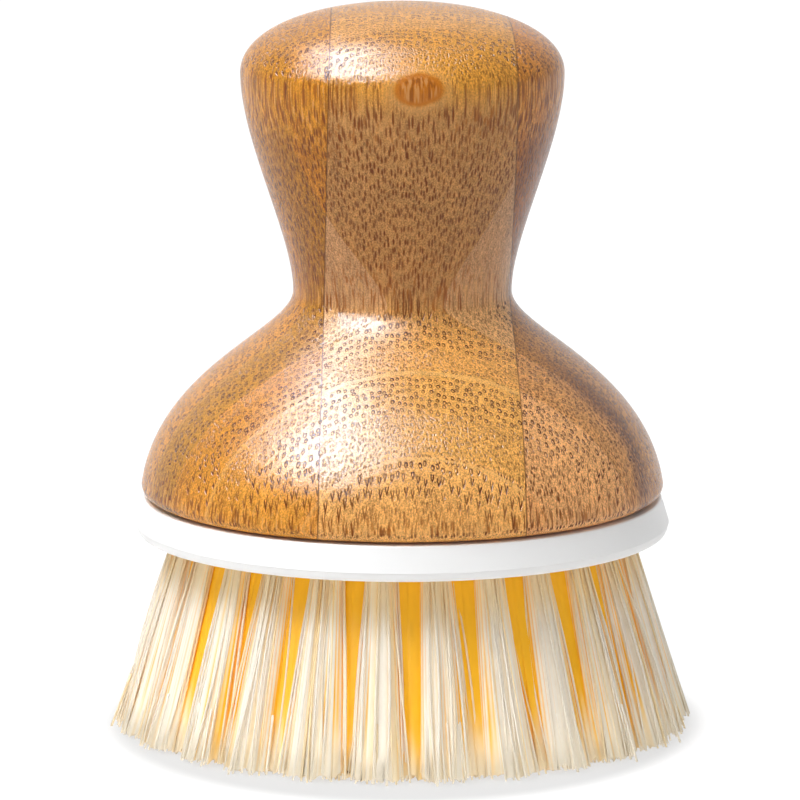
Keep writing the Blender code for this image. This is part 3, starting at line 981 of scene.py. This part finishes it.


# One tuft: its packed filaments, behind an outer one those painted all amber as glow, and its loose
# filaments, each as points, quads, triangles and the points' values. The axes point outwards and round.
def tuftMesh(name, root, tip, rng):
    ring = name.split("_")[0]
    fan, power = tuft["sideFan"][ring], tuft["fanPower"][ring]
    lean = tip[:2] - root[:2]
    reach = np.linalg.norm(lean)
    outward = lean / reach if reach > 0.01 * mm else np.array([1.0, 0.0])
    axes = (outward, np.array([-outward[1], outward[0]]))
    backTip = tip
    if ring == "outer":
        fan = fan * (1 + rng.uniform(-1, 1) * tuft["fanSpread"])
        tip = tip + np.append(axes[1] * rng.uniform(-1, 1) * tuft["leanSpread"], 0)
    startHalf = tuft["rootRadius"] * tuft["rootFit"]
    endHalf = tuft["tipRadius"] * tuft["tipFit"]
    halves = ((startHalf, endHalf), (startHalf, endHalf * fan))
    soft, square = tuft["squareness"]
    parts = [packedFilaments(root, tip, axes, halves, (0.0, 0.0), power, soft, rng)]
    if ring == "outer":
        depth, front = tuft["backDepth"], tuft["backFront"]
        halves = (depth, tuft["backWidth"])
        shift = (front[0] - depth[0], front[1] - depth[1])
        parts.append(packedFilaments(root, backTip, axes, halves, shift, 1.0, square, rng))
        # The filaments behind take the painted amber glow all over
        parts[1][4][:] = 1.0  # all of it golden
    parts.append(looseFibres(root, tip, axes, fan, power, rng))
    points, quads, triangles, tones, glowInwards = zip(*parts)
    first = np.cumsum([0] + [len(part) for part in points])
    quads = np.vstack([faces + start for faces, start in zip(quads, first)])
    triangles = np.vstack([faces + start for faces, start in zip(triangles, first)])
    mesh = meshFrom(name, np.vstack(points), quads, triangles)
    mesh.shade_smooth()
    for label, values in (("fibreTone", tones), ("glowInward", glowInwards)):
        layer = mesh.attributes.new(label, "FLOAT", "POINT")
        layer.data.foreach_set("value", np.concatenate(values).astype(np.float32))
    return mesh


# Heights are in millimetres above the tips. The painted glow is the least share of amber in a
# filament, the amber being painted light for light that has passed through many filaments.
fibre = {
    "cream": {"outside": (244, 236, 221), "dull": (251, 222, 160), "paintedGlowTone": (255, 190, 32), "paintedGlow": 0.0},
    "gold": {"outside": (255, 238, 200), "dull": (255, 216, 136), "paintedGlowTone": (255, 184, 38), "paintedGlow": 1.0},
    "paintedGlowLow": (255, 206, 96),
    "tip": (251, 241, 218),
    "root": (250, 236, 204),
    "ragged": (6.0, 3.0),  # spread and middle of where the tips' tones start
    "glowInward": (0.22, 0.62),
    "paintedGlowRange": (0.35, 0.65),
    "paintedGlowFrom": (0.0, 8.0),
    "paintedGlowFull": (0.0, 12.0),
    "dullFrom": (0.62, 0.95),
    "dullShare": 0.7,
    "tipFrom": (9.0, -2.0),
    "tipShare": 0.7,
    "rootShadowRagged": 2.0,
    "rootShadowFrom": (19.0, 26.0),
    "rootShadowGlowLoss": 0.7,
    "lengthBumps": (1.2, 1.2, 0.12),
    "lengthRange": (0.16, 0.92),
    "roughness": 0.42,
    "specular": 0.25,
}


# Fibre: pale outside, with a painted amber glow far in between the tufts, for light that has passed
# through many filaments; paler at the tips, partly their own colour and partly painted light from the
# white floor; and with a painted shadow of the plate at the root. Each filament's tones change at its
# own height.
def fibreMaterial(name):
    tones = fibre[name]
    material, tree, shader = newMaterial("bristle_" + name)
    height = components(millimetres(tree))[2]
    own, glowInward = (addNode(tree, "Attribute", {"attribute_name": label}).outputs["Fac"]
                   for label in ("fibreTone", "glowInward"))
    spread, middle = fibre["ragged"]
    lifted = scaled(own, spread, minus(height, middle))

    # Painted glow, for light passed through the filaments: amber where a point faces in, all over in the
    # inner tufts, weaker towards the tips
    paintedGlow = maths("MAXIMUM", step(glowInward, *fibre["glowInward"]), tones["paintedGlow"])
    paintedGlow = times(paintedGlow, scaled(step(lifted, *fibre["paintedGlowFrom"]), *fibre["paintedGlowRange"]))
    dull = times(step(own, *fibre["dullFrom"]), fibre["dullShare"])
    outside = blend(dull, linear(tones["outside"]), linear(tones["dull"]))
    full = step(lifted, *fibre["paintedGlowFull"])
    paintedGlowTone = blend(full, linear(fibre["paintedGlowLow"]), linear(tones["paintedGlowTone"]))
    tone = blend(paintedGlow, outside, paintedGlowTone)

    length = noise(tree, fibre["lengthBumps"], 2.0).outputs[0]
    tone = blend(1.0, tone, scaled(length, *fibre["lengthRange"]), "MULTIPLY")
    # Paler tips: partly the filaments' own pale ends, partly painted light from the white floor below
    tips = times(step(lifted, *fibre["tipFrom"]), fibre["tipShare"])
    tone = blend(tips, tone, linear(fibre["tip"]))
    # Painted shadow of the plate on the filaments near the root, weaker where they take the painted glow
    root = step(scaled(own, fibre["rootShadowRagged"], height), *fibre["rootShadowFrom"])
    root = times(root, scaled(paintedGlow, -fibre["rootShadowGlowLoss"], 1.0))
    tone = blend(root, tone, linear(fibre["root"]), "MULTIPLY")
    fillInputs(shader, Base_Color=tone, Roughness=fibre["roughness"], Specular_IOR_Level=fibre["specular"])
    return material


# A bundle of fibres for each tuft, cream in the outer ring and amber inside, the amber a painted glow
def makeBristles(places):
    materials = {name: fibreMaterial(name) for name in ("cream", "gold")}
    rng = np.random.default_rng(tuft["seed"])
    for name in sorted(places):
        root, tip, top = places[name]
        kind = "cream" if name.startswith("outer") else "gold"
        mesh = tuftMesh(name + "_fibres", root, tip, rng)
        addPiece(name + "_fibres", mesh, materials[kind], "bristle_" + kind, name)


makeBristles(tuftEnds)
print("bristles drawn")


# Stage, light and camera

# The floor's painted shadow goes from its level near the brush to its level far from it, along its
# reach in metres. A lamp's level is the light that it gives a white surface facing it, its size and
# distance in metres.
stage = {
    "floorHalf": 4.0,
    "floorDrop": 0.03 * mm,
    "paintedFloorShadow": (0.65, 0.98),
    "paintedShadowReach": (0.0395, 0.0450),
    "floorStretch": (1.0, 0.84, 1.0),
    "floorShadow": 0.14,
    "floorBounce": 0.86,
    "floorFill": 0.32,
    "fillReach": (0.056, 0.038),
    "worldStrength": 0.55,
    "whiteFrom": (0.5, 1.0),
    "lampDistance": 0.6,
    "sheenTint": (0.80, 0.95, 1.15),

    # Azimuth, elevation, size, level and whether the lamp is only sheen
    "keySoftBox": (-52, 61, 0.32, 0.88, False),
    "glossSoftBox": (-54, 53, 0.34, 5.8, True),
    "backSoftBox": (-120, 68, 0.20, 1.9, True),

    "diffuseBounces": 12,  # light goes from filament to filament
    "maxBounces": 24,
}

# The photograph's view: a long lens, a little above the brush, its axis 2.4 pixels right of centre
view = {
    "distance": 1.0,
    "height": 231.5 * mm,
    "aimHeight": 46.55 * mm,
    "aimSide": -0.34 * mm,
    "focalPixels": 7149.5,
    "imagePixels": 800,
    "sensorWidth": 36,
    "clip": (0.05, 20),
}


# 1 for the rays that show the background: the camera's, reflected and refracted ones
def seenRays(tree):
    path = addNode(tree, "LightPath")
    seen = path.outputs["Is Camera Ray"]
    for kind in ("Glossy", "Transmission"):
        seen = maths("MAXIMUM", seen, path.outputs[f"Is {kind} Ray"])
    return seen


# The floor, as rays that show it see it: a glow with a painted shadow, greyer under the brush in an
# oval, plus a little diffuse white that takes the brush's real shadow. Other rays meet plain white,
# with a weak glow under the brush for the light that a table throws up into the tips.
def floorMaterial():
    material, tree, shader = newMaterial("floor_white")
    tree.nodes.remove(shader)
    place = addNode(tree, "TexCoord").outputs["Object"]
    place = vectorMaths("MULTIPLY", place, stage["floorStretch"])
    away = vectorMaths("LENGTH", place, result="Value")
    near, far = stage["paintedFloorShadow"]
    shade = scaled(step(away, *stage["paintedShadowReach"]), far - near, near)
    fill = times(step(away, *stage["fillReach"]), stage["floorFill"])

    def whiteSurface(share, glow):
        diffuse = addNode(tree, "BsdfDiffuse", Color=(share, share, share, 1))
        glowing = addNode(tree, "Emission", Color=(1, 1, 1, 1), Strength=glow)
        return addNode(tree, "AddShader", n0=diffuse.outputs[0], n1=glowing.outputs[0]).outputs[0]

    shown, hidden = whiteSurface(stage["floorShadow"], shade), whiteSurface(stage["floorBounce"], fill)
    both = addNode(tree, "MixShader", n0=seenRays(tree), n1=hidden, n2=shown)
    tree.links.new(both.outputs[0], tree.nodes["Material Output"].inputs["Surface"])
    return material


# A wide square a hair under the tips
def makeFloor():
    corners = np.array([(-1, -1, 0), (1, -1, 0), (1, 1, 0), (-1, 1, 0)]) * stage["floorHalf"]
    corners -= (0, 0, stage["floorDrop"])
    floor = addObject("floor", meshFrom("floor", corners, np.arange(4)[None, :]))
    floor.data.materials.append(floorMaterial())


# The world is white all round to the camera. In reflections and through glass it is white behind
# the brush, by how far a ray points backwards, and all else sees the plain level that lights it.
def makeWorld():
    world = bpy.data.worlds.new("studio")
    scene.world = world
    world.use_nodes = True
    tree = world.node_tree
    backwards = components(addNode(tree, "TexCoord").outputs["Generated"])[1]
    seen = times(seenRays(tree), step(backwards, *stage["whiteFrom"]))
    seen = maths("MAXIMUM", seen, addNode(tree, "LightPath").outputs["Is Camera Ray"])
    strength = scaled(seen, 1.0 - stage["worldStrength"], stage["worldStrength"])
    background = tree.nodes["Background"]
    background.inputs["Color"].default_value = (1, 1, 1, 1)
    tree.links.new(strength, background.inputs["Strength"])


# A square soft box that faces the brush. P watts at distance d light a facing white surface to
# P / (pi d)^2. The key lights every surface but isn't reflected, and the sheen boxes only show as
# slightly cool highlights in the lacquer and light nothing.
def makeSoftBox(name, azimuth, elevation, size, level, sheen):
    lamp = bpy.data.lights.new(name, "AREA")
    lamp.size = size
    lamp.energy = level * (math.pi * stage["lampDistance"]) ** 2
    box = addObject(name, lamp)
    turn, rise = math.radians(azimuth), math.radians(elevation)
    away = Vector((math.sin(turn) * math.cos(rise), -math.cos(turn) * math.cos(rise), math.sin(rise)))
    box.location = Vector((0, 0, handle["crown"] / 2)) + away * stage["lampDistance"]
    box.rotation_euler = away.to_track_quat("Z", "Y").to_euler()
    box.visible_camera = False
    box.visible_glossy = sheen
    box.visible_diffuse = not sheen
    if sheen:
        lamp.color = stage["sheenTint"]


# The lens is as long as the sensor is wide, times the focal length over the picture's width
def makeCamera():
    lens = bpy.data.cameras.new("camera")
    lens.sensor_width = view["sensorWidth"]
    lens.lens = lens.sensor_width * view["focalPixels"] / view["imagePixels"]
    lens.clip_start, lens.clip_end = view["clip"]
    camera = addObject("camera", lens)
    place = Vector((view["aimSide"], -view["distance"], view["height"]))
    aim = Vector((view["aimSide"], 0, view["aimHeight"]))
    camera.location = place
    camera.rotation_euler = (aim - place).to_track_quat("-Z", "Y").to_euler()
    scene.camera = camera


makeFloor()
makeWorld()
for lampName in ("keySoftBox", "glossSoftBox", "backSoftBox"):
    makeSoftBox(lampName, *stage[lampName])
makeCamera()
scene.view_settings.view_transform = "Standard"
scene.cycles.diffuse_bounces = stage["diffuseBounces"]
scene.cycles.max_bounces = stage["maxBounces"]
print("stage, light and camera ready")
